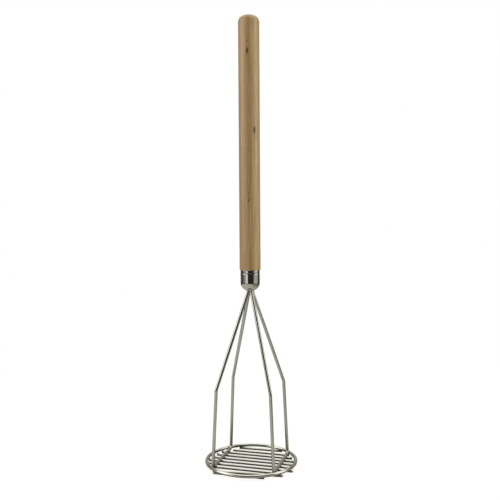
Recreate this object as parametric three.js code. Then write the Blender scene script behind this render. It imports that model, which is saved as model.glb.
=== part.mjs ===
// Long-handled potato masher with a round wire face, in millimetres.
// +Z runs up the handle, the origin is under the middle of the face, and the mashing bars run along X.
//
// The face is a ring with straight bars welded under it. Two frame wires, each bent to a U, stand on the
// bars inside the ring: the bottom of each U crosses the bars, and its two legs rise, bend inwards and meet
// the other two in a square bundle. The bundle passes through a steel ferrule into a bore in a wooden handle.
import * as THREE from 'three';

// Overall sizes.
const TOTAL_LENGTH = 608;
const RING_OUTER_DIAMETER = 127;
const FERRULE_BOTTOM_Z = 240;

// Wire sizes.
const RING_WIRE = 4.5;
const FRAME_WIRE = 4.5;
const BAR_WIRE = 3.2;

// Mashing bars.
const BAR_COUNT = 10;
const BAR_EDGE = 8.375; // from the ring's centreline to the first and last bar
const BAR_END_CHAMFER = 0.4;
const BAR_REACH = -1.2; // from the ring's centreline out to a bar's end: most ends hide under the ring
// Bars that were cut or welded out of true: their reaches at -X and +X, and, in bar pitches, how far
// they sit towards +Y and how much further that way they swing by one ring radius along +X.
const UNTRUE_BARS = {
  1: { reaches: [3.1, 4.4], shift: 0.128, swing: 0.182 },
  2: { reaches: [-6.3, BAR_REACH] },
  3: { reaches: [BAR_REACH, -2.9] },
  4: { reaches: [-2.8, BAR_REACH] },
  7: { reaches: [BAR_REACH, 4] },
  8: { reaches: [BAR_REACH, -3.5] },
  9: { reaches: [BAR_REACH, 4.7], swing: 0.454 },
  10: { reaches: [2.9, -3.7], shift: 0.255 },
};

// Frame wires.
const FOOT_ANGLE = THREE.MathUtils.degToRad(43.4); // round the ring, from +X to a foot
const SHOULDER_Z = 109; // where the legs bend inwards
const LEG_LEAN_X = 4.7; // how far a leg leans in on its way up to its shoulder
const LEG_LEAN_Y = 2.4;
const FOOT_BEND = 5; // radii of the wire's centreline
const SHOULDER_BEND = 15;
const NECK_BEND = 10;

// Ferrule: a pressed cup with a rolled groove that grips the handle's tenon.
const FERRULE_STEP = 1.1; // from the wood's surface in to the ferrule's
const FERRULE_WALL = 0.8;
const COLLAR_HEIGHT = 18.2;
const DOME_RISE = 2.3; // the dome's centre above the crease round its top
const GROOVE_BELOW_TOP = 4.4;
const GROOVE_WIDTH = 2.2;
const GROOVE_DEPTH = 0.5;

// Handle.
const HANDLE_DIAMETER = 28.6;
const HANDLE_END_ROUND = 9.3;
const SHOULDER_CHAMFER = 0.7;
const TENON_CHAMFER = 1;
const WIRE_INSERTION = 46; // above the tenon's lower end

// Clearances.
const WIRE_GAP = 0.3; // between the four wires of the bundle
const BORE_CLEARANCE = 0.3; // round the bundle
const BORE_SPARE = 2; // above the wires' ends
const TENON_CLEARANCE = 0.3; // between tenon and ferrule
const TENON_SETBACK = 1.7; // from the ferrule's crease up to the tenon's end
const WELD_GAP = 0.2; // between a foot and the ring that it is welded to

// Faceting.
const WIRE_SIDES = 12;
const RING_STEPS = 72;
const TURNED_SIDES = 48;

// What follows from the sizes above: the face.
const ringRadius = (RING_OUTER_DIAMETER - RING_WIRE) / 2;
const ringZ = BAR_WIRE + RING_WIRE / 2;
const barPitch = (2 * (ringRadius - BAR_EDGE)) / (BAR_COUNT - 1);

// The ferrule and the handle.
const bundleOffset = (FRAME_WIRE + WIRE_GAP) / 2;
const boreRadius = bundleOffset * Math.SQRT2 + FRAME_WIRE / 2 + BORE_CLEARANCE;
const handleRadius = HANDLE_DIAMETER / 2;
const ferruleRadius = handleRadius - FERRULE_STEP;
const domeRadius = Math.hypot(ferruleRadius, DOME_RISE);
const creaseZ = FERRULE_BOTTOM_Z + Math.sqrt(domeRadius ** 2 - boreRadius ** 2) - DOME_RISE;
const ferruleTopZ = creaseZ + COLLAR_HEIGHT;
const grooveZ = ferruleTopZ - GROOVE_BELOW_TOP;
const tenonRadius = ferruleRadius - FERRULE_WALL - TENON_CLEARANCE;
const tenonBottomZ = creaseZ + TENON_SETBACK;
const wireTopZ = tenonBottomZ + WIRE_INSERTION;

const wood = new THREE.MeshStandardMaterial({ color: 0xb8905f, roughness: 0.45, metalness: 0 });
const plating = new THREE.MeshStandardMaterial({ color: 0xc9c8c2, roughness: 0.12, metalness: 1 });

function point(x, y) {
  return new THREE.Vector2(x, y);
}

function namedMesh(name, geometry, material) {
  const mesh = new THREE.Mesh(geometry, material);
  mesh.name = name;
  return mesh;
}

// Points along an arc about (cx, cy), from one angle to the other, both ends included.
function arc(cx, cy, radius, from, to, steps) {
  return Array.from({ length: steps + 1 }, (_, i) => {
    const angle = from + ((to - from) * i) / steps;
    return point(cx + radius * Math.cos(angle), cy + radius * Math.sin(angle));
  });
}

// A solid turned about +Z from a profile of (radius, height) points.
function turned(profile) {
  return new THREE.LatheGeometry(profile, TURNED_SIDES).rotateX(Math.PI / 2);
}

// A wire's centreline: straight runs between corners, with each inner corner rounded by an arc.
// It is sampled only where it bends, so its points aren't evenly spaced.
class BentWire extends THREE.Curve {
  constructor(corners, bends, stepsPerBend) {
    super();
    this.stations = [corners[0]];
    bends.forEach((radius, i) => {
      const [before, corner, after] = corners.slice(i, i + 3);
      const inward = before.clone().sub(corner).normalize();
      const outward = after.clone().sub(corner).normalize();
      const half = inward.angleTo(outward) / 2;
      const centre = inward.clone().add(outward).normalize();
      centre.multiplyScalar(radius / Math.sin(half)).add(corner);
      const start = inward.multiplyScalar(radius / Math.tan(half)).add(corner).sub(centre);
      const axis = outward.clone().cross(before.clone().sub(corner)).normalize();
      const sweep = Math.PI - 2 * half;
      for (let s = 0; s <= stepsPerBend[i]; s++) {
        const spoke = start.clone().applyAxisAngle(axis, (sweep * s) / stepsPerBend[i]);
        this.stations.push(spoke.add(centre));
      }
    });
    this.stations.push(corners.at(-1));
  }

  get steps() {
    return this.stations.length - 1;
  }

  getPoint(t, target = new THREE.Vector3()) {
    const place = Math.min(t * this.steps, this.steps);
    const first = Math.min(Math.floor(place), this.steps - 1);
    return target.lerpVectors(this.stations[first], this.stations[first + 1], place - first);
  }

  getPointAt(u, target) {
    return this.getPoint(u, target);
  }

  // At a station the section lies midway between the runs on its two sides.
  getTangentAt(u, target = new THREE.Vector3()) {
    const i = Math.round(u * this.steps);
    const run = (a, b) => this.stations[b].clone().sub(this.stations[a]).normalize();
    const before = run(Math.max(i - 1, 0), Math.max(i, 1));
    const after = run(Math.min(i, this.steps - 1), Math.min(i + 1, this.steps));
    return target.copy(before).add(after).normalize();
  }
}

// Handle: a turned dowel with a rounded top end, and a bored tenon at its lower end.
function handle() {
  const boreTopZ = wireTopZ + BORE_SPARE;
  const endRoundZ = TOTAL_LENGTH - HANDLE_END_ROUND;
  const grooveRadius = tenonRadius - GROOVE_DEPTH;
  return turned([
    point(0, boreTopZ),
    point(boreRadius, boreTopZ),
    point(boreRadius, tenonBottomZ),
    point(tenonRadius - TENON_CHAMFER, tenonBottomZ),
    point(tenonRadius, tenonBottomZ + TENON_CHAMFER),
    point(tenonRadius, grooveZ - GROOVE_WIDTH / 2 - TENON_CLEARANCE),
    point(grooveRadius, grooveZ - GROOVE_WIDTH / 4),
    point(grooveRadius, grooveZ + GROOVE_WIDTH / 4),
    point(tenonRadius, grooveZ + GROOVE_WIDTH / 2 + TENON_CLEARANCE),
    point(tenonRadius, ferruleTopZ),
    point(handleRadius - SHOULDER_CHAMFER, ferruleTopZ),
    point(handleRadius, ferruleTopZ + SHOULDER_CHAMFER),
    ...arc(handleRadius - HANDLE_END_ROUND, endRoundZ, HANDLE_END_ROUND, 0, Math.PI / 2, 8),
    point(0, TOTAL_LENGTH),
  ]);
}

// Ferrule: collar and dome of one wall, with the bundle's hole in the dome.
function ferrule() {
  // One face of the wall, from the rim of the hole up to the top, set in from the outside.
  const face = (inset) => {
    const radius = ferruleRadius - inset;
    const grooveRadius = radius - GROOVE_DEPTH;
    const dome = domeRadius - inset;
    const rimAngle = -Math.acos(boreRadius / dome);
    const creaseAngle = -Math.acos(radius / dome);
    return [
      ...arc(0, creaseZ + DOME_RISE, dome, rimAngle, creaseAngle, 8),
      point(radius, grooveZ - GROOVE_WIDTH / 2),
      point(grooveRadius, grooveZ - GROOVE_WIDTH / 4),
      point(grooveRadius, grooveZ + GROOVE_WIDTH / 4),
      point(radius, grooveZ + GROOVE_WIDTH / 2),
      point(radius, ferruleTopZ),
    ];
  };
  const outer = face(0);
  return turned([...outer, ...face(FERRULE_WALL).reverse(), outer[0]]);
}

// Frame wire: up one leg of a U from inside the handle, across the face and back up the other leg.
function frameWire(side) {
  // The bend at a foot touches the ring's inside. Its middle lies in from the path's corner, and up.
  const touch = (RING_WIRE + FRAME_WIRE) / 2 + WELD_GAP;
  const bendInset = FOOT_BEND * (1 - Math.SQRT1_2);
  const footGap = Math.sqrt(touch ** 2 - bendInset ** 2) - bendInset * Math.sin(FOOT_ANGLE);
  const footX = (ringRadius - footGap) * Math.cos(FOOT_ANGLE);
  const footY = (ringRadius - footGap) * Math.sin(FOOT_ANGLE);
  const footZ = BAR_WIRE + FRAME_WIRE / 2;
  // The legs part where the ferrule ends.
  const shoulderX = footX - LEG_LEAN_X;
  const shoulderY = footY - LEG_LEAN_Y;
  const spread = Math.hypot(shoulderX - bundleOffset, shoulderY - bundleOffset);
  const partingAngle = Math.atan2(spread, FERRULE_BOTTOM_Z - SHOULDER_Z);
  const neckZ = FERRULE_BOTTOM_Z - NECK_BEND * Math.tan(partingAngle / 2);
  const leg = (end) => [
    new THREE.Vector3(side * bundleOffset, end * bundleOffset, wireTopZ),
    new THREE.Vector3(side * bundleOffset, end * bundleOffset, neckZ),
    new THREE.Vector3(side * shoulderX, end * shoulderY, SHOULDER_Z),
    new THREE.Vector3(side * footX, end * footY, footZ),
  ];
  const bends = [NECK_BEND, SHOULDER_BEND, FOOT_BEND, FOOT_BEND, SHOULDER_BEND, NECK_BEND];
  const path = new BentWire([...leg(-1), ...leg(1).reverse()], bends, [4, 4, 8, 8, 4, 4]);
  const section = new THREE.Shape(arc(0, 0, FRAME_WIRE / 2, 0, 2 * Math.PI, WIRE_SIDES).slice(0, -1));
  return new THREE.ExtrudeGeometry(section, { steps: path.steps, extrudePath: path });
}

function faceRing() {
  return new THREE.TorusGeometry(ringRadius, RING_WIRE / 2, WIRE_SIDES, RING_STEPS).translate(0, 0, ringZ);
}

// Bars are counted from the +Y side. Each lies along a chord of the ring's centreline.
function mashBar(number) {
  const { reaches = [BAR_REACH, BAR_REACH], shift = 0, swing = 0 } = UNTRUE_BARS[number] ?? {};
  const y = ((BAR_COUNT + 1) / 2 - number + shift) * barPitch;
  const angle = Math.asin((swing * barPitch) / ringRadius);
  // Along the bar, from where it crosses the YZ plane.
  const middle = -y * Math.sin(angle);
  const halfChord = Math.sqrt(ringRadius ** 2 - (y * Math.cos(angle)) ** 2);
  const start = middle - halfChord - reaches[0];
  const length = middle + halfChord + reaches[1] - start;
  const radius = BAR_WIRE / 2 / Math.cos(Math.PI / WIRE_SIDES); // flats, not corners, lie above and below
  const endRadius = radius - BAR_END_CHAMFER;
  const profile = [
    point(0, 0),
    point(endRadius, 0),
    point(radius, BAR_END_CHAMFER),
    point(radius, length - BAR_END_CHAMFER),
    point(endRadius, length),
    point(0, length),
  ];
  return new THREE.LatheGeometry(profile, WIRE_SIDES, Math.PI / WIRE_SIDES)
    .rotateZ(-Math.PI / 2)
    .translate(start, 0, BAR_WIRE / 2)
    .rotateZ(angle)
    .translate(0, y, 0);
}

const masher = new THREE.Group();
masher.add(namedMesh('handle', handle(), wood));
masher.add(namedMesh('ferrule', ferrule(), plating));
masher.add(namedMesh('frame_wire_left', frameWire(-1), plating));
masher.add(namedMesh('frame_wire_right', frameWire(1), plating));
masher.add(namedMesh('face_ring', faceRing(), plating));
for (let number = 1; number <= BAR_COUNT; number++) {
  masher.add(namedMesh(`mash_bar_${number}`, mashBar(number), plating));
}

export default masher;
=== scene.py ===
import math

import bmesh
import bpy
import numpy as np
from mathutils import Matrix, Vector


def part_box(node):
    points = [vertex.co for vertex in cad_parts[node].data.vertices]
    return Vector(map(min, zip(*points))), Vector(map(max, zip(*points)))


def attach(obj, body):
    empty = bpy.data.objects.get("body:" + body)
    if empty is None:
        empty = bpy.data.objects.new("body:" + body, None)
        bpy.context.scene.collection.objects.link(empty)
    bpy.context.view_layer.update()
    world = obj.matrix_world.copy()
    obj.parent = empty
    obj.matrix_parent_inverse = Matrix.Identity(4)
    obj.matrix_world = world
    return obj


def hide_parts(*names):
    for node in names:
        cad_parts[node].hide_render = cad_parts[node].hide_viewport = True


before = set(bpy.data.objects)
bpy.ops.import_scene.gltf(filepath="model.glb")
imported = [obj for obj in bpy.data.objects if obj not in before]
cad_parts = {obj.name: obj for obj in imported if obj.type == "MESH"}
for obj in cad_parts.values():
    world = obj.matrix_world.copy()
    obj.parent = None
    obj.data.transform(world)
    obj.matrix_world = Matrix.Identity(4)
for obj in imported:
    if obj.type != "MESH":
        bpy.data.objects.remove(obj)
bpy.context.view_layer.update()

MM = 0.001
ANY_PHASE = 6.28  # radians: the top of the range that a random phase is drawn from
rng = np.random.default_rng(7)

# ---------------------------------------------------------------- sizes from the frame

RING_LOW, RING_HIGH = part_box("face_ring")
RING_WIRE = RING_HIGH.z - RING_LOW.z
RING_RADIUS = (RING_HIGH.x - RING_LOW.x - RING_WIRE) / 2
RING_Z = (RING_HIGH.z + RING_LOW.z) / 2

BAR_NAMES = sorted(
    (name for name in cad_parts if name.startswith("mash_bar_")),
    key=lambda name: int(name.rsplit("_", 1)[1]),
)
BAR_WIRE = RING_LOW.z

FERRULE_LOW, FERRULE_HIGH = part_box("ferrule")
FERRULE_RADIUS = (FERRULE_HIGH.x - FERRULE_LOW.x) / 2
HANDLE_LOW, HANDLE_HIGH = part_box("handle")
HANDLE_RADIUS = (HANDLE_HIGH.x - HANDLE_LOW.x) / 2
HANDLE_TOP = HANDLE_HIGH.z

# The wires of the frame. Their boxes don't give the thickness or the bends, so those are stated.
FRAME_LOW, FRAME_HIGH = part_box("frame_wire_right")
FRAME_WIRE = 4.5 * MM
BUNDLE_OFFSET = FRAME_LOW.x + FRAME_WIRE / 2
FOOT_X = FRAME_HIGH.x - FRAME_WIRE / 2
FOOT_Y = FRAME_HIGH.y - FRAME_WIRE / 2
FOOT_Z = BAR_WIRE + FRAME_WIRE / 2
WIRE_TOP = FRAME_HIGH.z
LEG_LEAN_X = 4.7 * MM
LEG_LEAN_Y = 2.4 * MM
SHOULDER_Z = 109 * MM
FOOT_BEND = 5 * MM
SHOULDER_BEND = 15 * MM
NECK_BEND = 10 * MM

# The ferrule's wall, groove and dome, and what fits inside it, are stated too.
FERRULE_WALL = 0.8 * MM
COLLAR_HEIGHT = 18.2 * MM
DOME_RISE = 2.3 * MM
GROOVE_BELOW_TOP = 4.4 * MM
GROOVE_HALF_WIDTH = 0.9 * MM
GROOVE_DEPTH = 0.07 * MM
CREASE_BEND = 9 * MM
BORE_RADIUS = 5.94 * MM
TENON_GAP = 0.3 * MM
TENON_CHAMFER = 1 * MM
TENON_GROOVE_FLAT = 0.5 * MM  # half the flat bottom of the groove in the tenon
TENON_GROOVE_REACH = 1.4 * MM  # half that groove's full width
BORE_ABOVE_WIRES = 2 * MM
HANDLE_END_ROUND = 9.3 * MM
SHOULDER_ROUND = 0.7 * MM
CREASE_Z = FERRULE_HIGH.z - COLLAR_HEIGHT
GROOVE_Z = FERRULE_HIGH.z - GROOVE_BELOW_TOP

# ---------------------------------------------------------------- camera, light and floor

CAMERA_AZIMUTH = math.radians(16.23)
CAMERA_DISTANCE = 0.9354
CAMERA_HEIGHT = 0.3436
CAMERA_PITCH = math.radians(2.975)
CAMERA_ROLL = math.radians(0.35)
CAMERA_LENS = 49.7
SENSOR_WIDTH = 36


def make_camera():
    data = bpy.data.cameras.new("camera")
    data.lens = CAMERA_LENS
    data.sensor_width = SENSOR_WIDTH
    data.clip_start = 0.01
    data.clip_end = 50
    camera = bpy.data.objects.new("camera", data)
    bpy.context.scene.collection.objects.link(camera)
    turn = Matrix.Rotation(CAMERA_AZIMUTH, 4, "Z")
    tilt = Matrix.Rotation(math.pi / 2 - CAMERA_PITCH, 4, "X")
    roll = Matrix.Rotation(-CAMERA_ROLL, 4, "Z")
    away = Vector((math.sin(CAMERA_AZIMUTH), -math.cos(CAMERA_AZIMUTH), 0)) * CAMERA_DISTANCE
    camera.matrix_world = Matrix.Translation(away + Vector((0, 0, CAMERA_HEIGHT))) @ turn @ tilt @ roll
    bpy.context.scene.camera = camera


class Nodes:
    """Short calls for building a node tree."""

    def __init__(self, tree):
        self.tree = tree
        tree.nodes.clear()

    def add(self, kind, inputs=(), **settings):
        node = self.tree.nodes.new(kind)
        for name, value in settings.items():
            setattr(node, name, value)
        for name, value in dict(inputs).items():
            self.put(node.inputs[name], value)
        return node

    def put(self, socket, value):
        if isinstance(value, bpy.types.NodeSocket):
            self.tree.links.new(value, socket)
        else:
            socket.default_value = value

    def math(self, operation, a, b=0.0, clamp=False):
        node = self.add("ShaderNodeMath", {0: a, 1: b}, operation=operation, use_clamp=clamp)
        return node.outputs[0]

    def vector(self, operation, a, b=(0, 0, 0)):
        node = self.add("ShaderNodeVectorMath", {0: a, 1: b}, operation=operation)
        return node.outputs["Value" if operation in ("LENGTH", "DOT_PRODUCT") else "Vector"]

    def noise(self, vector, scale=1.0, detail=3.0, roughness=0.5):
        node = self.add(
            "ShaderNodeTexNoise",
            {"Vector": vector, "Scale": scale, "Detail": detail, "Roughness": roughness},
        )
        return node.outputs["Fac"]

    def noise_colour(self, vector, scale=1.0, detail=2.0):
        node = self.add("ShaderNodeTexNoise", {"Vector": vector, "Scale": scale, "Detail": detail})
        return node.outputs["Color"]

    def ramp(self, factor, stops):
        node = self.add("ShaderNodeValToRGB", {"Fac": factor})
        elements = node.color_ramp.elements
        while len(elements) < len(stops):
            elements.new(0.5)
        for element, (place, value) in zip(elements, stops):
            element.position = place
            element.color = (value,) * 3 + (1,) if isinstance(value, (int, float)) else (*value, 1)
        return node.outputs["Color"]

    def mix(self, factor, a, b, blend="MIX"):
        node = self.add("ShaderNodeMix", data_type="RGBA", blend_type=blend)
        for index, value in ((0, factor), (6, a), (7, b)):
            if isinstance(value, tuple) and len(value) == 3:
                value = (*value, 1)
            self.put(node.inputs[index], value)
        return node.outputs[2]

    def fit(self, value, low, high, to_low=0.0, to_high=1.0):
        node = self.add(
            "ShaderNodeMapRange",
            {"Value": value, "From Min": low, "From Max": high, "To Min": to_low, "To Max": to_high},
        )
        return node.outputs["Result"]


# What polished metal sees round the room, by angle from the camera's own direction, in degrees:
# below the horizon, where a pale sheet lies to the right, and above it.
LOW_RING = (
    (-180, 0.50),
    (-150, 0.35),
    (-125, 0.07),
    (-100, 0.06),
    (-92, 0.16),
    (-60, 0.42),
    (-47, 0.95),
    (-31, 1.05),
    (-27, 0.03),
    (39, 0.02),
    (44, 0.36),
    (60, 0.55),
    (98, 0.50),
    (106, 0.05),
    (130, 0.06),
    (150, 0.35),
    (180, 0.50),
)
HIGH_RING = (
    (-180, 0.50),
    (-150, 0.35),
    (-125, 0.10),
    (-95, 0.30),
    (-66, 0.90),
    (-48, 1.05),
    (-42, 0.03),
    (60, 0.03),
    (110, 0.12),
    (150, 0.35),
    (180, 0.50),
)
STUDIO_TINT = (1.0, 0.985, 0.92)
OVERHEAD_TILT = math.radians(15)  # of the overhead softbox's middle, back from straight up
OVERHEAD = (1.5, 1.5, 1.42)
DARK_ROOM = (0.04, 0.04, 0.03)
UNDERSIDE_DARKNESS = 0.8
WORLD_LIGHT = 0.80
# Where one part of the room fades into the next, by a direction's upward share.
RINGS_MEET = (0.0, 0.08)
LOW_RING_ENDS = (-0.12, -0.17)
HIGH_RING_ENDS = (0.45, 0.7)
SOFTBOX_EDGE = (0.70, 0.79)  # the same, measured from the softbox's middle


def make_world():
    world = bpy.data.worlds.new("studio")
    bpy.context.scene.world = world
    world.use_nodes = True
    n = Nodes(world.node_tree)
    direction = n.add("ShaderNodeTexCoord").outputs["Generated"]
    turned = n.add(
        "ShaderNodeVectorRotate",
        {"Vector": direction, "Angle": math.pi / 2 - CAMERA_AZIMUTH},
        rotation_type="Z_AXIS",
    ).outputs["Vector"]
    split = n.add("ShaderNodeSeparateXYZ", {"Vector": turned})
    height = split.outputs["Z"]
    angle = n.math("ARCTAN2", split.outputs["Y"], split.outputs["X"])
    share = n.fit(angle, -math.pi, math.pi)
    low, high = (
        n.ramp(share, [((degrees + 180) / 360, value) for degrees, value in ring])
        for ring in (LOW_RING, HIGH_RING)
    )
    band = n.mix(n.fit(height, *RINGS_MEET), low, high)
    band = n.mix(1.0, band, STUDIO_TINT, "MULTIPLY")
    underside = n.mix(UNDERSIDE_DARKNESS, band, DARK_ROOM)
    band = n.mix(n.fit(height, *LOW_RING_ENDS), band, underside)
    band = n.mix(n.fit(height, *HIGH_RING_ENDS), band, DARK_ROOM)
    softbox = (-math.sin(OVERHEAD_TILT), 0, math.cos(OVERHEAD_TILT))
    overhead = n.fit(n.vector("DOT_PRODUCT", turned, softbox), *SOFTBOX_EDGE)
    gloss = n.mix(overhead, band, OVERHEAD)
    path = n.add("ShaderNodeLightPath")
    light = n.mix(path.outputs["Is Glossy Ray"], (WORLD_LIGHT,) * 3, gloss)
    seen = n.mix(path.outputs["Is Camera Ray"], light, (1.0, 1.0, 1.0))
    background = n.add("ShaderNodeBackground", {"Color": seen, "Strength": 1.0})
    output = n.add("ShaderNodeOutputWorld")
    n.put(output.inputs["Surface"], background.outputs[0])


LAMP_AIM = Vector((0, 0, 0.3))
LAMP_DISTANCE = 1.6
LAMP_SIZE = (0.9, 1.4)
LAMP_WATTS = 8


def area_light(name, azimuth, elevation):
    """A soft lamp aimed at the masher. Its angles, in degrees, are from the camera's side and up."""
    data = bpy.data.lights.new(name, "AREA")
    data.shape = "RECTANGLE"
    data.size, data.size_y = LAMP_SIZE
    data.energy = LAMP_WATTS
    data.specular_factor = 0.0
    lamp = bpy.data.objects.new(name, data)
    bpy.context.scene.collection.objects.link(lamp)
    turn, rise = math.radians(azimuth) + CAMERA_AZIMUTH, math.radians(elevation)
    back = Vector((math.sin(turn) * math.cos(rise), -math.cos(turn) * math.cos(rise), math.sin(rise)))
    lamp.location = LAMP_AIM + back * LAMP_DISTANCE
    lamp.rotation_mode = "QUATERNION"
    lamp.rotation_quaternion = (-back).to_track_quat("-Z", "Y")
    lamp.visible_camera = False


FLOOR_RADIUS = 0.8
FLOOR_WHITE = (0.20, 0.20, 0.20, 1)
FLOOR_GLOW = (1, 0.995, 0.97, 1)
FLOOR_GLOW_STRENGTH = 0.84
# What polished metal sees in the floor, painted into its colour for every ray but the camera's: a pale
# sheet, darkened to the right as a painted reflection of the dark room past the sheet's edge, and painted
# shade under the face. The spans are in metres, to the right and from the middle.
SHEET_PALE, PAINTED_DARK_ROOM = (0.56, 0.555, 0.50), (0.22, 0.22, 0.19)
SHEET_SPAN = (0.05, 0.40)
FACE_SHADE = (0.10, 0.10, 0.07)
FACE_SHADE_EDGE = (0.060, 0.070)


def make_floor():
    shape = bmesh.new()
    bmesh.ops.create_circle(shape, cap_ends=True, segments=64, radius=FLOOR_RADIUS)
    mesh = bpy.data.meshes.new("floor")
    shape.to_mesh(mesh)
    shape.free()
    floor = bpy.data.objects.new("floor", mesh)
    bpy.context.scene.collection.objects.link(floor)
    material = bpy.data.materials.new("pale_floor")
    material.use_nodes = True
    n = Nodes(material.node_tree)
    path = n.add("ShaderNodeLightPath")
    white = n.add("ShaderNodeBsdfDiffuse", {"Color": FLOOR_WHITE})
    glow = n.add("ShaderNodeEmission", {"Color": FLOOR_GLOW, "Strength": FLOOR_GLOW_STRENGTH})
    lit = n.add("ShaderNodeAddShader", {0: white.outputs[0], 1: glow.outputs[0]})
    place = n.add("ShaderNodeTexCoord").outputs["Object"]
    right = n.vector("DOT_PRODUCT", place, (math.cos(CAMERA_AZIMUTH), math.sin(CAMERA_AZIMUTH), 0))
    # Painted reflection and painted shade: for rays other than the camera's, the floor is darkened to the
    # right for the dark room and under the face for its shade.
    sheet_and_room = n.mix(n.fit(right, *SHEET_SPAN), SHEET_PALE, PAINTED_DARK_ROOM)
    shade = n.mix(n.fit(n.vector("LENGTH", place), *FACE_SHADE_EDGE), FACE_SHADE, sheet_and_room)
    grey = n.add("ShaderNodeBsdfDiffuse", {"Color": shade})
    seen = n.add(
        "ShaderNodeMixShader",
        {0: path.outputs["Is Camera Ray"], 1: grey.outputs[0], 2: lit.outputs[0]},
    )
    output = n.add("ShaderNodeOutputMaterial")
    n.put(output.inputs["Surface"], seen.outputs[0])
    mesh.materials.append(material)


# ---------------------------------------------------------------- meshes


def add_piece(name, verts, faces, material, replaced=(), attributes=()):
    """Makes a smooth mesh that rides the one body. attributes holds (name, type, value per vertex)."""
    mesh = bpy.data.meshes.new(name)
    mesh.from_pydata([tuple(v) for v in verts], [], faces)
    mesh.validate()
    for label, kind, values in attributes:
        layer = mesh.attributes.new(label, kind, "POINT")
        layer.data.foreach_set(
            "vector" if kind == "FLOAT_VECTOR" else "value",
            np.asarray(values, np.float32).ravel(),
        )
    shape = bmesh.new()
    shape.from_mesh(mesh)
    bmesh.ops.recalc_face_normals(shape, faces=shape.faces)
    shape.to_mesh(mesh)
    shape.free()
    mesh.shade_smooth()
    mesh.materials.append(material)
    piece = bpy.data.objects.new(name, mesh)
    bpy.context.scene.collection.objects.link(piece)
    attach(piece, "root")
    if replaced:
        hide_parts(*replaced)


def arc(centre, radius, start, end, steps):
    """Points along an arc about centre, both ends included. Angles are in degrees."""
    angles = np.radians(np.linspace(start, end, steps + 1))
    return [(centre[0] + radius * math.cos(a), centre[1] + radius * math.sin(a)) for a in angles]


def line(start, end, steps):
    """Points from start towards end, the last one left out."""
    start, end = np.array(start), np.array(end)
    return [tuple(start + (end - start) * i / steps) for i in range(steps)]


def grid_faces(first, rows, sides, closed=False):
    """Quads between rows of points that each go once round, the first row starting at vertex first.
    In a closed grid the last row also joins the first."""
    faces = []
    for row in range(rows if closed else rows - 1):
        below, above = first + row * sides, first + (row + 1) % rows * sides
        for side in range(sides):
            after = (side + 1) % sides
            faces.append((below + side, below + after, above + after, above + side))
    return faces


def cap_faces(pole, first, sides):
    """Triangles from the vertex pole to the row of points that starts at vertex first."""
    return [(pole, first + side, first + (side + 1) % sides) for side in range(sides)]


def turned_grid(profile, sides, closed):
    """Vertices and faces of a profile of (radius, height) points turned about Z.
    An open profile starts and ends on the axis; a closed one is a ring."""
    angles = np.arange(sides) * 2 * math.pi / sides
    verts = []
    rows = profile if closed else profile[1:-1]
    for radius, height in rows:
        verts += [(radius * math.cos(a), radius * math.sin(a), height) for a in angles]
    faces = grid_faces(0, len(rows), sides, closed)
    if not closed:
        for pole, row in ((profile[0], 0), (profile[-1], len(rows) - 1)):
            verts.append((0, 0, pole[1]))
            faces += cap_faces(len(verts) - 1, row * sides, sides)
    return np.array(verts), faces


def bent_path(corners, bends, spacing, bend_steps):
    """A wire's centreline: straight runs cut to spacing, with each inner corner rounded by an arc."""
    points = [np.array(corners[0], float)]

    def run_to(target):
        start = points[-1]
        pieces = max(1, round(float(np.linalg.norm(target - start)) / spacing))
        points.extend(start + (target - start) * (i + 1) / pieces for i in range(pieces))

    for i, radius in enumerate(bends):
        before, corner, after = (np.array(c, float) for c in corners[i : i + 3])
        inward = (before - corner) / np.linalg.norm(before - corner)
        outward = (after - corner) / np.linalg.norm(after - corner)
        half = math.acos(float(np.clip(inward @ outward, -1, 1))) / 2
        middle = (inward + outward) / np.linalg.norm(inward + outward)
        centre = corner + middle * radius / math.sin(half)
        start = corner + inward * radius / math.tan(half) - centre
        axis = Vector(np.cross(outward, inward)).normalized()
        run_to(centre + start)
        sweep = math.pi - 2 * half
        for step in range(1, bend_steps + 1):
            spoke = Matrix.Rotation(sweep * step / bend_steps, 3, axis) @ Vector(start)
            points.append(centre + np.array(spoke))
    run_to(np.array(corners[-1], float))
    return np.array(points)


WIRE_END_ROUND = 0.25 * MM
END_ROUND_TURNS = (0, 30, 60, 90)  # degrees, the steps in which a wire's end is rounded


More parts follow.
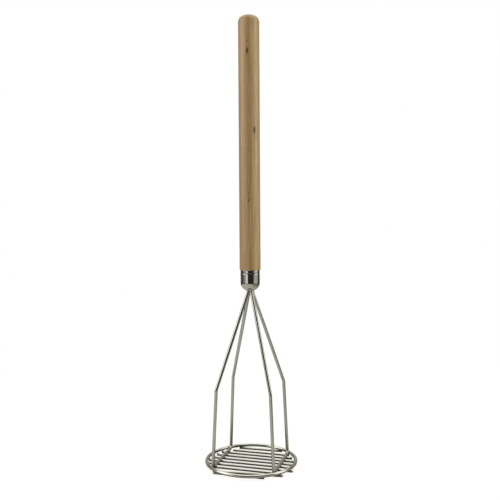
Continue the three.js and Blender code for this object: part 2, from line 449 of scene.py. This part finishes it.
def swept_wire(path, radius, sides, closed=False, end_round=WIRE_END_ROUND, shape=None):
    """A round wire along path. Returns vertices, faces and, for each vertex, its place on the
    straightened wire: two across it and one along it. shape(place) may return moved places."""
    ahead = np.roll(path, -1, 0) - path
    behind = path - np.roll(path, 1, 0)
    if not closed:
        ahead[-1] = behind[-1]
        behind[0] = ahead[0]
    tangents = ahead / np.linalg.norm(ahead, axis=1)[:, None]
    tangents = tangents + behind / np.linalg.norm(behind, axis=1)[:, None]
    tangents /= np.linalg.norm(tangents, axis=1)[:, None]
    along = np.concatenate([[0], np.cumsum(np.linalg.norm(np.diff(path, axis=0), axis=1))])
    up = np.array((0.0, 0.0, 1.0)) if abs(tangents[0][2]) < 0.9 else np.array((1.0, 0.0, 0.0))
    sideways = np.cross(up, tangents[0])
    frames = []
    for tangent in tangents:
        sideways = sideways - tangent * (sideways @ tangent)
        sideways /= np.linalg.norm(sideways)
        frames.append((sideways.copy(), np.cross(tangent, sideways)))
    rings = [(i, radius, 0.0) for i in range(len(path))]
    if not closed:
        for index, sign in ((0, 1), (len(path) - 1, -1)):
            rounded = []
            for turn in END_ROUND_TURNS:
                inward = 1 - math.cos(math.radians(turn))
                back = 1 - math.sin(math.radians(turn))
                rounded.append((index, radius - end_round * inward, sign * end_round * back))
            if sign > 0:
                rings = rounded[::-1] + rings[1:]
            else:
                rings = rings[:-1] + rounded
    angles = np.arange(sides) * 2 * math.pi / sides
    place, at = [], []
    for index, size, shift in rings:
        for angle in angles:
            place.append((size * math.cos(angle), size * math.sin(angle), along[index] + shift))
            at.append((index, shift))
    place = np.array(place)
    if shape:
        place = shape(place)
    verts = []
    for (index, shift), (a, b, distance) in zip(at, place):
        side, rise = frames[index]
        verts.append(path[index] + side * a + rise * b + tangents[index] * (distance - along[index]))
    faces = grid_faces(0, len(rings), sides, closed)
    if not closed:
        for first in (0, (len(rings) - 1) * sides):
            verts.append(np.mean(verts[first : first + sides], axis=0))
            place = np.vstack([place, np.mean(place[first : first + sides], axis=0)])
            faces += cap_faces(len(verts) - 1, first, sides)
    return np.array(verts), faces, place


def angle_from(angles, start):
    """The signed angles from start round to angles, each within half a turn."""
    return np.angle(np.exp(1j * (angles - start)))


def dinged(sunk, verts, radius, count, heights, wide, deep, tall=None):
    """How far each point of a turned piece is sunk once count shallow dings are added at random places.
    wide, deep and tall are ranges in millimetres, and with no tall a ding is as tall as it is wide."""
    angles = np.arctan2(verts[:, 1], verts[:, 0])
    for _ in range(count):
        turn, height = rng.uniform(-math.pi, math.pi), rng.uniform(*heights)
        width = rng.uniform(*wide) * MM
        rise = rng.uniform(*tall) * MM if tall else width
        depth = rng.uniform(*deep) * MM
        across = radius * np.abs(angle_from(angles, turn))
        sunk = sunk - depth * np.exp(-((across / width) ** 2) - ((verts[:, 2] - height) / rise) ** 2)
    return sunk


# ---------------------------------------------------------------- materials

NICKEL_DULL, NICKEL_BRIGHT = (0.54, 0.53, 0.475), (0.66, 0.65, 0.60)
DRAW_MARK = (0.44, 0.43, 0.36)
SPECK = (0.14, 0.125, 0.10)
BURN = (0.165, 0.125, 0.065)


def plated_steel(name, lengthwise, smooth, rough_spots):
    """Bright nickel plate over drawn wire or pressed sheet. Where the attribute weld nears 1 the
    plating is duller and browner. lengthwise gives the coordinates that fine lines are stretched along,
    and smooth and rough_spots are the roughness at its least and most."""
    material = bpy.data.materials.new(name)
    material.use_nodes = True
    n = Nodes(material.node_tree)
    position = n.add("ShaderNodeTexCoord").outputs["Object"]
    lines = n.noise(lengthwise(n, position), 1.0, 4.0, 0.6)
    cloud = n.noise(position, 160.0, 3.0)
    peel = n.noise(position, 900.0, 2.0)
    specks = n.fit(n.noise(position, 2600.0, 2.0), 0.66, 0.74)
    weld = n.add("ShaderNodeAttribute", attribute_name="weld").outputs["Fac"]
    patchy = n.fit(n.noise(position, 700.0, 3.0), 0.3, 0.7, 0.45, 1.0)
    burn = n.math("MULTIPLY", weld, patchy, clamp=True)
    colour = n.mix(cloud, NICKEL_DULL, NICKEL_BRIGHT)
    colour = n.mix(n.math("MULTIPLY", lines, 0.25), colour, DRAW_MARK)
    colour = n.mix(n.math("MULTIPLY", specks, 0.55), colour, SPECK)
    colour = n.mix(n.math("MULTIPLY", burn, 0.8), colour, BURN)
    rough = n.fit(cloud, 0.3, 0.7, smooth, rough_spots)
    rough = n.math("ADD", rough, n.math("MULTIPLY", lines, 0.05))
    rough = n.math("ADD", rough, n.math("MULTIPLY", burn, 0.25))
    relief = n.math("ADD", n.math("MULTIPLY", lines, 0.15), n.math("MULTIPLY", peel, 0.6))
    bump = n.add("ShaderNodeBump", {"Height": relief, "Strength": 0.3, "Distance": 0.01 * MM})
    shader = n.add(
        "ShaderNodeBsdfPrincipled",
        {"Base Color": colour, "Metallic": 1.0, "Roughness": rough, "Normal": bump.outputs[0]},
    )
    output = n.add("ShaderNodeOutputMaterial")
    n.put(output.inputs["Surface"], shader.outputs[0])
    return material


def wire_lines(n, position):
    """Draw marks run along a wire."""
    place = n.add("ShaderNodeAttribute", attribute_name="place").outputs["Vector"]
    return n.vector("MULTIPLY", place, (5200, 5200, 60))


def turned_lines(n, position):
    """Spinning and polishing marks run round the ferrule."""
    return n.vector("MULTIPLY", position, (150, 150, 5200))


# Knots and dark flecks in the handle: angle round it from -Y towards +X in degrees, height, and
# half width and half height of the dark core, in millimetres.
KNOTS = (
    (7, 559, 1.5, 4.4),
    (7, 571, 0.75, 1.5),
    (45, 455, 1.7, 5.2),
    (11, 362, 0.75, 2.0),
    (152, 421, 1.3, 3.4),
    (-104, 508, 0.9, 2.6),
    (-62, 318, 0.7, 1.8),
)
# How much browner the wood is round the handle, by share of a full turn from +Y by way of -X, and
# how far it goes from the ruddy side to the pale one.
HEARTWOOD = (
    (0.0, 0.2),
    (0.40, 0.15),
    (0.498, 0.08),
    (0.522, 1.0),
    (0.578, 1.0),
    (0.60, 0.10),
    (0.7, 0.1),
    (1.0, 0.2),
)
PALE_SIDE = ((0.0, 0.4), (0.3, 0.0), (0.50, 0.0), (0.60, 1.0), (0.75, 1.0), (1.0, 0.4))
# The growth rings are about a pith off to one side, which leans as it rises. Place and spacing in
# millimetres.
PITH = (-41, 55)
PITH_LEAN = 0.016
RING_SPACING = 2.3
# How dark the wood of one growth ring is, by share of the ring's width from its inner side.
RING_SHADES = ((0.0, 0.0), (0.55, 0.18), (0.86, 0.62), (0.95, 1.0), (1.0, 0.0))
SWIRL_SIZE = 4  # how many times a knot's core its swirl of bent grain is
RUDDY_WOOD = (0.42, 0.275, 0.100), (0.49, 0.265, 0.115)
PALE_WOOD = (0.47, 0.345, 0.125), (0.52, 0.350, 0.155)
DARK_YEAR = (0.36, 0.225, 0.080)
HEART = (0.225, 0.130, 0.026)
LATE_WOOD = (0.25, 0.135, 0.045)
DARK_FIBRE, LIGHT_FIBRE = (0.31, 0.18, 0.065), (0.66, 0.50, 0.26)
FINE_PORE = (0.24, 0.14, 0.06)
RAY_FLECK = (0.17, 0.09, 0.035)
KNOT_SWIRL, KNOT_CORE = (0.23, 0.115, 0.035), (0.070, 0.026, 0.006)


def beech():
    """Pale steamed beech under a thin satin sealer: growth rings about a pith off to one side, long
    fibre streaks, short dark ray flecks and a few pin knots that the rings bend round."""
    material = bpy.data.materials.new("beech")
    material.use_nodes = True
    n = Nodes(material.node_tree)
    metres = n.add("ShaderNodeTexCoord").outputs["Object"]
    place = n.vector("MULTIPLY", metres, (1 / MM, 1 / MM, 1 / MM))
    middle_grey = (0.5, 0.5, 0.5)
    knot_core = 0.0
    knot_swirl = 0.0
    for angle, height, wide, tall in KNOTS:
        turn = math.radians(angle)
        reach = HANDLE_RADIUS / MM
        centre = (reach * math.sin(turn), -reach * math.cos(turn), height)
        off = n.vector("SUBTRACT", place, centre)
        wobble = n.vector("SCALE", n.vector("SUBTRACT", n.noise_colour(place, 0.9), middle_grey))
        wobble.node.inputs["Scale"].default_value = wide
        off = n.vector("ADD", off, wobble)
        core = n.vector("LENGTH", n.vector("DIVIDE", off, (wide, wide, tall)))
        knot_core = n.math("MAXIMUM", knot_core, n.fit(core, 1.15, 0.55))
        around = (wide * SWIRL_SIZE, wide * SWIRL_SIZE, tall * SWIRL_SIZE)
        swirl = n.vector("LENGTH", n.vector("DIVIDE", off, around))
        knot_swirl = n.math("MAXIMUM", knot_swirl, n.fit(swirl, 1.0, 0.0))
    slow = n.noise_colour(n.vector("MULTIPLY", place, (0.03, 0.03, 0.006)))
    wander = n.vector("MULTIPLY", n.vector("SUBTRACT", slow, middle_grey), (9, 9, 0))
    warped = n.vector("ADD", place, wander)
    split = n.add("ShaderNodeSeparateXYZ", {"Vector": warped})
    x = n.math("SUBTRACT", split.outputs["X"], PITH[0])
    y = n.math("SUBTRACT", split.outputs["Y"], PITH[1])
    x = n.math("ADD", x, n.math("MULTIPLY", split.outputs["Z"], PITH_LEAN))
    reach = n.math("SQRT", n.math("ADD", n.math("MULTIPLY", x, x), n.math("MULTIPLY", y, y)))
    reach = n.math("ADD", reach, n.math("MULTIPLY", knot_swirl, 2.4))
    reach = n.math("ADD", reach, n.math("MULTIPLY", n.noise(place, 0.35, 2.0), 0.7))
    phase = n.math("FRACT", n.math("DIVIDE", reach, RING_SPACING))
    late = n.ramp(phase, RING_SHADES)
    years = n.add("ShaderNodeCombineXYZ", {"X": n.math("MULTIPLY", reach, 0.23)})
    year = n.noise(years.outputs[0], 1.0, 1.0)
    fibre = n.noise(n.vector("MULTIPLY", place, (1.3, 1.3, 0.022)), 1.0, 4.0, 0.62)
    fine = n.noise(n.vector("MULTIPLY", place, (7, 7, 0.16)), 1.0, 3.0, 0.6)
    blotch = n.noise(n.vector("MULTIPLY", place, (0.16, 0.16, 0.013)), 1.0, 2.0)
    flecks = n.add(
        "ShaderNodeTexVoronoi",
        {"Vector": n.vector("MULTIPLY", place, (2.1, 2.1, 0.42)), "Scale": 1.0, "Randomness": 1.0},
    )
    fleck = n.math(
        "MULTIPLY",
        n.fit(flecks.outputs["Distance"], 0.20, 0.06),
        n.fit(n.noise(n.vector("MULTIPLY", place, (0.4, 0.4, 0.1))), 0.42, 0.60),
    )
    side = n.math("ARCTAN2", split.outputs["X"], n.math("MULTIPLY", split.outputs["Y"], -1.0))
    side = n.fit(side, -math.pi, math.pi)
    tone = n.fit(blotch, 0.34, 0.66)
    colour = n.mix(n.ramp(side, PALE_SIDE), n.mix(tone, *RUDDY_WOOD), n.mix(tone, *PALE_WOOD))
    colour = n.mix(n.fit(year, 0.35, 0.7, 0.0, 0.5), colour, DARK_YEAR)
    streak = n.math("MULTIPLY", n.ramp(side, HEARTWOOD), n.fit(blotch, 0.30, 0.62, 0.78, 0.42))
    colour = n.mix(streak, colour, HEART)
    colour = n.mix(n.math("MULTIPLY", late, 0.42), colour, LATE_WOOD)
    colour = n.mix(n.fit(fibre, 0.42, 0.62, 0.0, 0.62), colour, DARK_FIBRE)
    colour = n.mix(n.fit(fibre, 0.46, 0.28, 0.0, 0.62), colour, LIGHT_FIBRE)
    colour = n.mix(n.fit(fine, 0.4, 0.75, 0.0, 0.30), colour, FINE_PORE)
    colour = n.mix(n.math("MULTIPLY", fleck, 0.55), colour, RAY_FLECK)
    colour = n.mix(n.fit(knot_swirl, 0.45, 0.95, 0.0, 0.6), colour, KNOT_SWIRL)
    colour = n.mix(n.math("MULTIPLY", knot_core, 0.95), colour, KNOT_CORE)
    rough = n.fit(fine, 0.3, 0.7, 0.36, 0.50)
    relief = n.math("SUBTRACT", n.math("MULTIPLY", fine, 0.5), n.math("MULTIPLY", fleck, 0.5))
    relief = n.math("SUBTRACT", relief, knot_core)
    bump = n.add("ShaderNodeBump", {"Height": relief, "Strength": 0.5, "Distance": 0.06 * MM})
    shader = n.add(
        "ShaderNodeBsdfPrincipled",
        {
            "Base Color": colour,
            "Roughness": rough,
            "Normal": bump.outputs[0],
            "IOR": 1.5,
            "Coat Weight": 0.35,
            "Coat Roughness": 0.28,
        },
    )
    output = n.add("ShaderNodeOutputMaterial")
    n.put(output.inputs["Surface"], shader.outputs[0])
    return material


# ---------------------------------------------------------------- pieces

CLOSE_TO_WELD = 3.5 * MM
END_TO_WELD = 1 * MM
FOOT_WELD_RISE = FOOT_BEND * 0.2  # how far above the ring's centreline a foot's weld is
HANDLE_SIDES, HANDLE_STEPS = 144, 110
FERRULE_SIDES = 128
WIRE_SIDES = 28
WIRE_STEP = 5 * MM
BEND_STEPS = 12
DING_MARGIN = 20 * MM  # from either end of the handle's shaft to where dings may start


def bar_ends(name):
    """The two ends of a bar's centreline, seen from above. A bar turned out of true has a deeper box."""
    low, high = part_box(name)
    middle = np.array(((low.x + high.x) / 2, (low.y + high.y) / 2))
    rise = max(0.0, (high.y - low.y - BAR_WIRE) / 2)
    run = (high.x - low.x) / 2
    run -= BAR_WIRE / 2 * rise / run
    half = np.array((run, rise))
    return middle - half, middle + half


def weld_places():
    """Where wires are welded together: under the ring and the crossbars, and where feet meet the ring."""
    places = []
    for name in BAR_NAMES:
        left, right = bar_ends(name)
        along = (right - left) / np.linalg.norm(right - left)
        nearest = left @ along
        chord = math.sqrt(RING_RADIUS**2 - left @ left + nearest**2)
        first = max(-nearest - chord, END_TO_WELD)
        last = min(-nearest + chord, np.linalg.norm(right - left) - END_TO_WELD)
        for spot in (left + along * first, left + along * last):
            if np.linalg.norm(spot) > RING_RADIUS - RING_WIRE:
                places.append((*spot, BAR_WIRE))
        for x in (-FOOT_X, FOOT_X):
            y = left[1] + (x - left[0]) * along[1] / along[0]
            if abs(y) < FOOT_Y - FOOT_BEND:
                places.append((x, y, BAR_WIRE))
    for sx in (-1, 1):
        for sy in (-1, 1):
            foot = Vector((sx * FOOT_X, sy * FOOT_Y, 0)).normalized()
            touch = foot * (RING_RADIUS - RING_WIRE / 2)
            places.append((touch.x, touch.y, RING_Z + FOOT_WELD_RISE))
    return np.array(places)


def nearness(verts, places, spread=1.0):
    """How near each vertex is to one of the places: 1 at it, fading over about CLOSE_TO_WELD * spread."""
    gap = np.full(len(verts), 1.0)
    for place in places:
        gap = np.minimum(gap, np.linalg.norm(np.asarray(verts) - place, axis=1))
    return np.exp(-((gap / (CLOSE_TO_WELD * spread)) ** 2))


def make_handle(material):
    tenon = FERRULE_RADIUS - FERRULE_WALL - TENON_GAP
    groove = tenon - GROOVE_DEPTH
    bottom, top, shoulder = HANDLE_LOW.z, HANDLE_TOP, FERRULE_HIGH.z
    bore_top = WIRE_TOP + BORE_ABOVE_WIRES
    radius, edge, end = HANDLE_RADIUS, SHOULDER_ROUND, HANDLE_END_ROUND
    profile = [(0, bore_top), (BORE_RADIUS, bore_top), (BORE_RADIUS, bottom)]
    profile += [(tenon - TENON_CHAMFER, bottom), (tenon, bottom + TENON_CHAMFER)]
    profile += [(tenon, GROOVE_Z - TENON_GROOVE_REACH), (groove, GROOVE_Z - TENON_GROOVE_FLAT)]
    profile += [(groove, GROOVE_Z + TENON_GROOVE_FLAT), (tenon, GROOVE_Z + TENON_GROOVE_REACH)]
    profile += [(tenon, shoulder), (radius - edge, shoulder)]
    profile += arc((radius - edge, shoulder + edge), edge, -78, 0, 6)
    profile += line((radius, shoulder + 2 * edge), (radius, top - end), HANDLE_STEPS)
    profile += arc((radius - end, top - end), end, 0, 90, 24)
    profile += [((radius - end) * 0.5, top), (0, top)]
    verts, faces = turned_grid(profile, HANDLE_SIDES, closed=False)
    # A turned dowel is never quite true, and it picks up shallow dings.
    z = verts[:, 2]
    angle = np.arctan2(verts[:, 1], verts[:, 0])
    outside = np.hypot(verts[:, 0], verts[:, 1]) > tenon + 1.2 * MM
    waves = np.sin(z * 41 + angle) + np.sin(z * 97 + 2 * angle) + np.sin(z * 260 + 3 * angle)
    sunk = -0.05 * MM + 0.03 * MM * waves * 0.5
    heights = (shoulder + DING_MARGIN, top - DING_MARGIN)
    sunk = dinged(sunk, verts, radius, 16, heights, wide=(1.0, 2.2), deep=(0.06, 0.2), tall=(1.5, 5))
    verts[:, :2] *= (1 + np.where(outside, sunk, 0) / radius)[:, None]
    add_piece("handle_dowel", verts, faces, material, ["handle"])


def make_ferrule(material):
    top = FERRULE_HIGH.z
    dome = math.hypot(FERRULE_RADIUS, DOME_RISE)
    centre = (0, CREASE_Z + DOME_RISE)
    groove_end = GROOVE_HALF_WIDTH + 0.2 * MM

    def face(inset):
        """The cup's outer face, or the same face a wall's thickness further in."""
        outer = FERRULE_RADIUS - inset
        radius = dome - inset
        rim = -math.degrees(math.acos(BORE_RADIUS / radius))
        bend = CREASE_BEND - inset
        drop = math.sqrt((radius - bend) ** 2 - (outer - bend) ** 2)
        slope = math.degrees(math.atan2(drop, outer - bend))
        bend_z = centre[1] - drop
        points = arc(centre, radius, rim, -slope, 22)
        points += arc((outer - bend, bend_z), bend, -slope, 0, 10)[1:]
        points += line((outer, bend_z + 0.6 * MM), (outer, GROOVE_Z - groove_end), 8)
        for step in np.linspace(-1, 1, 17):
            dip = 0.5 + 0.5 * math.cos(math.pi * step)
            points.append((outer - GROOVE_DEPTH * dip, GROOVE_Z + step * GROOVE_HALF_WIDTH))
        points += line((outer, GROOVE_Z + groove_end), (outer, top - 0.25 * MM), 5)
        return points

    lip = FERRULE_WALL / 2
    outside, inside = face(0), face(FERRULE_WALL)
    top_edge = arc((FERRULE_RADIUS - lip, top - lip), lip, 0, 180, 8)
    ring = outside + top_edge + inside[::-1]
    start, end = np.array(inside[0]), np.array(outside[0])
    # The hole's edge bulges a little, as a pierced and tumbled edge does.
    bulge = np.array((-1, -0.2)) * 0.15 * MM
    for share in (0.25, 0.5, 0.75):
        ring.append(tuple(start + (end - start) * share + bulge * math.sin(math.pi * share)))
    verts, faces = turned_grid(ring, FERRULE_SIDES, closed=True)
    # Pressing and rolling leave the collar very slightly out of round, with small dings.
    angle = np.arctan2(verts[:, 1], verts[:, 0])
    sunk = 0.02 * MM * np.sin(3 * angle + verts[:, 2] * 300) - 0.02 * MM
    sunk = dinged(sunk, verts, FERRULE_RADIUS, 9, (CREASE_Z, top), wide=(0.5, 1.3), deep=(0.02, 0.07))
    verts[:, :2] *= (1 + sunk / FERRULE_RADIUS)[:, None]
    add_piece(
        "ferrule_cup", verts, faces, material, ["ferrule"],
        [("weld", "FLOAT", np.zeros(len(verts)))],
    )


def make_frame_wire(side, material, welds):
    shoulder_x = FOOT_X - LEG_LEAN_X
    shoulder_y = FOOT_Y - LEG_LEAN_Y
    spread = math.hypot(shoulder_x - BUNDLE_OFFSET, shoulder_y - BUNDLE_OFFSET)
    parting = math.atan2(spread, FERRULE_LOW.z - SHOULDER_Z)
    neck_z = FERRULE_LOW.z - NECK_BEND * math.tan(parting / 2)

    def leg(end):
        return [
            (side * BUNDLE_OFFSET, end * BUNDLE_OFFSET, WIRE_TOP),
            (side * BUNDLE_OFFSET, end * BUNDLE_OFFSET, neck_z),
            (side * shoulder_x, end * shoulder_y, SHOULDER_Z),
            (side * FOOT_X, end * FOOT_Y, FOOT_Z),
        ]

    bends = [NECK_BEND, SHOULDER_BEND, FOOT_BEND]
    path = bent_path([*leg(-1), *leg(1)[::-1]], [*bends, *bends[::-1]], WIRE_STEP, BEND_STEPS)
    name = "frame_wire_left" if side < 0 else "frame_wire_right"
    verts, faces, place = swept_wire(path, FRAME_WIRE / 2, WIRE_SIDES)
    add_piece(
        name + "_drawn", verts, faces, material, [name],
        [("place", "FLOAT_VECTOR", place), ("weld", "FLOAT", nearness(verts, welds))],
    )


RING_STEPS = 240
SEAM_ANGLE = math.radians(128)  # of the ring's own butt weld, from +X towards +Y
SEAM_RISE, SEAM_WIDTH = 0.16 * MM, 0.9 * MM
SEAM_SINK, SEAM_SINK_WIDTH = 0.05 * MM, 3 * MM
SEAM_HEAT = 2.2  # how many times further than a spot weld's its burn reaches


def on_ring(angles):
    """Points on the ring's centreline."""
    angles = np.asarray(angles)
    heights = np.full(len(angles), RING_Z)
    return np.column_stack([RING_RADIUS * np.cos(angles), RING_RADIUS * np.sin(angles), heights])


def make_ring(material, welds):
    path = on_ring(np.radians(np.linspace(0, 360, RING_STEPS + 1)[:-1]))
    verts, faces, place = swept_wire(path, RING_WIRE / 2, WIRE_SIDES, closed=True)
    # The butt weld is a low collar round the wire, in a slight hollow.
    angle = np.arctan2(verts[:, 1], verts[:, 0])
    across = RING_RADIUS * angle_from(angle, SEAM_ANGLE)
    swell = SEAM_RISE * np.exp(-((across / SEAM_WIDTH) ** 2))
    swell = swell - SEAM_SINK * np.exp(-((across / SEAM_SINK_WIDTH) ** 2))
    outward = (verts - on_ring(angle)) / (RING_WIRE / 2)
    verts = verts + outward * swell[:, None]
    heat = np.maximum(nearness(verts, welds), nearness(verts, on_ring([SEAM_ANGLE]), SEAM_HEAT))
    add_piece(
        "face_ring_welded", verts, faces, material, ["face_ring"],
        [("place", "FLOAT_VECTOR", place), ("weld", "FLOAT", heat)],
    )


BAR_SIDES = 22
BAR_STEP = 1.5 * MM
BAR_END_ROUND = 0.18 * MM
BAR_BOW = 0.12 * MM
BAR_RIPPLE = 0.04 * MM
CUT_SLANT = 0.14  # the most that a cut end leans across the bar each way, as a slope
CUT_REACH = 1.1 * MM  # how far back from its end the cutter marks a bar
CUT_FLATTENING = 0.12


def make_bar(name, material, welds):
    left, right = bar_ends(name)
    length = float(np.linalg.norm(right - left))
    radius = BAR_WIRE / 2
    count = max(8, round(length / BAR_STEP))
    path = np.array([(*(left + (right - left) * i / count), radius) for i in range(count + 1)])
    bow, phase = rng.uniform(-BAR_BOW, BAR_BOW), rng.uniform(0, ANY_PHASE)
    share = np.linspace(-1, 1, count + 1)
    path[:, 1] += bow * (1 - share**2) + BAR_RIPPLE * np.sin(share * 9 + phase)
    slants = rng.uniform(-CUT_SLANT, CUT_SLANT, (2, 2))

    def sheared(place):
        """The cutter flattens an end a little and leaves its face slanted."""
        place = place.copy()
        for end, (lean_a, lean_b) in zip((0.0, length), slants):
            gap = np.abs(place[:, 2] - end)
            near = np.exp(-((gap / CUT_REACH) ** 2))
            inward = 1 if end == 0.0 else -1
            slant = (place[:, 0] * lean_a + place[:, 1] * lean_b) + radius * (abs(lean_a) + abs(lean_b))
            place[:, 2] += inward * slant * near
            place[:, 1] *= 1 - CUT_FLATTENING * near
        return place

    verts, faces, place = swept_wire(path, radius, BAR_SIDES, end_round=BAR_END_ROUND, shape=sheared)
    add_piece(
        name + "_drawn", verts, faces, material, [name],
        [("place", "FLOAT_VECTOR", place), ("weld", "FLOAT", nearness(verts, welds))],
    )


# Half sizes of a weld's swelling where a foot meets the ring and where wires cross: outwards from
# the middle of the face, round it, and up.
FOOT_NUGGET = (1.0 * MM, 1.5 * MM, 1.5 * MM)
CROSSING_NUGGET = (1.45 * MM, 1.45 * MM, 0.62 * MM)
FLAT_VARIATION, UPWARD_VARIATION = 0.12, 0.1  # shares by which the flat and upright sizes vary
NUGGET_HEAT = 0.8
NUGGET_SIDES, NUGGET_BANDS = 18, 9


def make_weld_nuggets(material, welds):
    """The small swellings where crossed wires have been pressed and melted together."""
    verts, faces = [], []
    for x, y, z in welds:
        reach, girth, rise = FOOT_NUGGET if z > BAR_WIRE else CROSSING_NUGGET
        reach *= rng.uniform(1 - FLAT_VARIATION, 1 + FLAT_VARIATION)
        girth *= rng.uniform(1 - FLAT_VARIATION, 1 + FLAT_VARIATION)
        rise *= rng.uniform(1 - UPWARD_VARIATION, 1 + UPWARD_VARIATION)
        turn = math.atan2(y, x)
        first = len(verts)
        two_lobes, three_lobes, _ = rng.uniform(0, ANY_PHASE, 3)
        for row in range(1, NUGGET_BANDS):
            latitude = math.pi * row / NUGGET_BANDS
            for side in range(NUGGET_SIDES):
                a = 2 * math.pi * side / NUGGET_SIDES
                lump = 1 + 0.06 * math.sin(2 * a + two_lobes) + 0.04 * math.sin(3 * a + three_lobes)
                out = reach * math.sin(latitude) * math.cos(a) * lump
                sideways = girth * math.sin(latitude) * math.sin(a) * lump
                verts.append((
                    x + out * math.cos(turn) - sideways * math.sin(turn),
                    y + out * math.sin(turn) + sideways * math.cos(turn),
                    z + rise * math.cos(latitude),
                ))
        rows = NUGGET_BANDS - 1
        faces += grid_faces(first, rows, NUGGET_SIDES)
        for height, row in ((rise, 0), (-rise, rows - 1)):
            verts.append((x, y, z + height))
            faces += cap_faces(len(verts) - 1, first + row * NUGGET_SIDES, NUGGET_SIDES)
    verts = np.array(verts)
    add_piece(
        "weld_nuggets", verts, faces, material, (),
        [("place", "FLOAT_VECTOR", verts), ("weld", "FLOAT", np.full(len(verts), NUGGET_HEAT))],
    )


bpy.context.scene.view_settings.view_transform = "Standard"
bpy.context.scene.view_settings.look = "None"

make_camera()
make_world()
area_light("key_left", azimuth=-80, elevation=24)
area_light("fill_right", azimuth=78, elevation=20)
make_floor()

steel_wire = plated_steel("plated_wire", wire_lines, 0.09, 0.15)
steel_sheet = plated_steel("plated_sheet", turned_lines, 0.05, 0.09)
WELDS = weld_places()
make_handle(beech())
make_ferrule(steel_sheet)
for wire_side in (-1, 1):
    make_frame_wire(wire_side, steel_wire, WELDS)
make_ring(steel_wire, WELDS)
for bar_name in BAR_NAMES:
    make_bar(bar_name, steel_wire, WELDS)
make_weld_nuggets(steel_wire, WELDS)
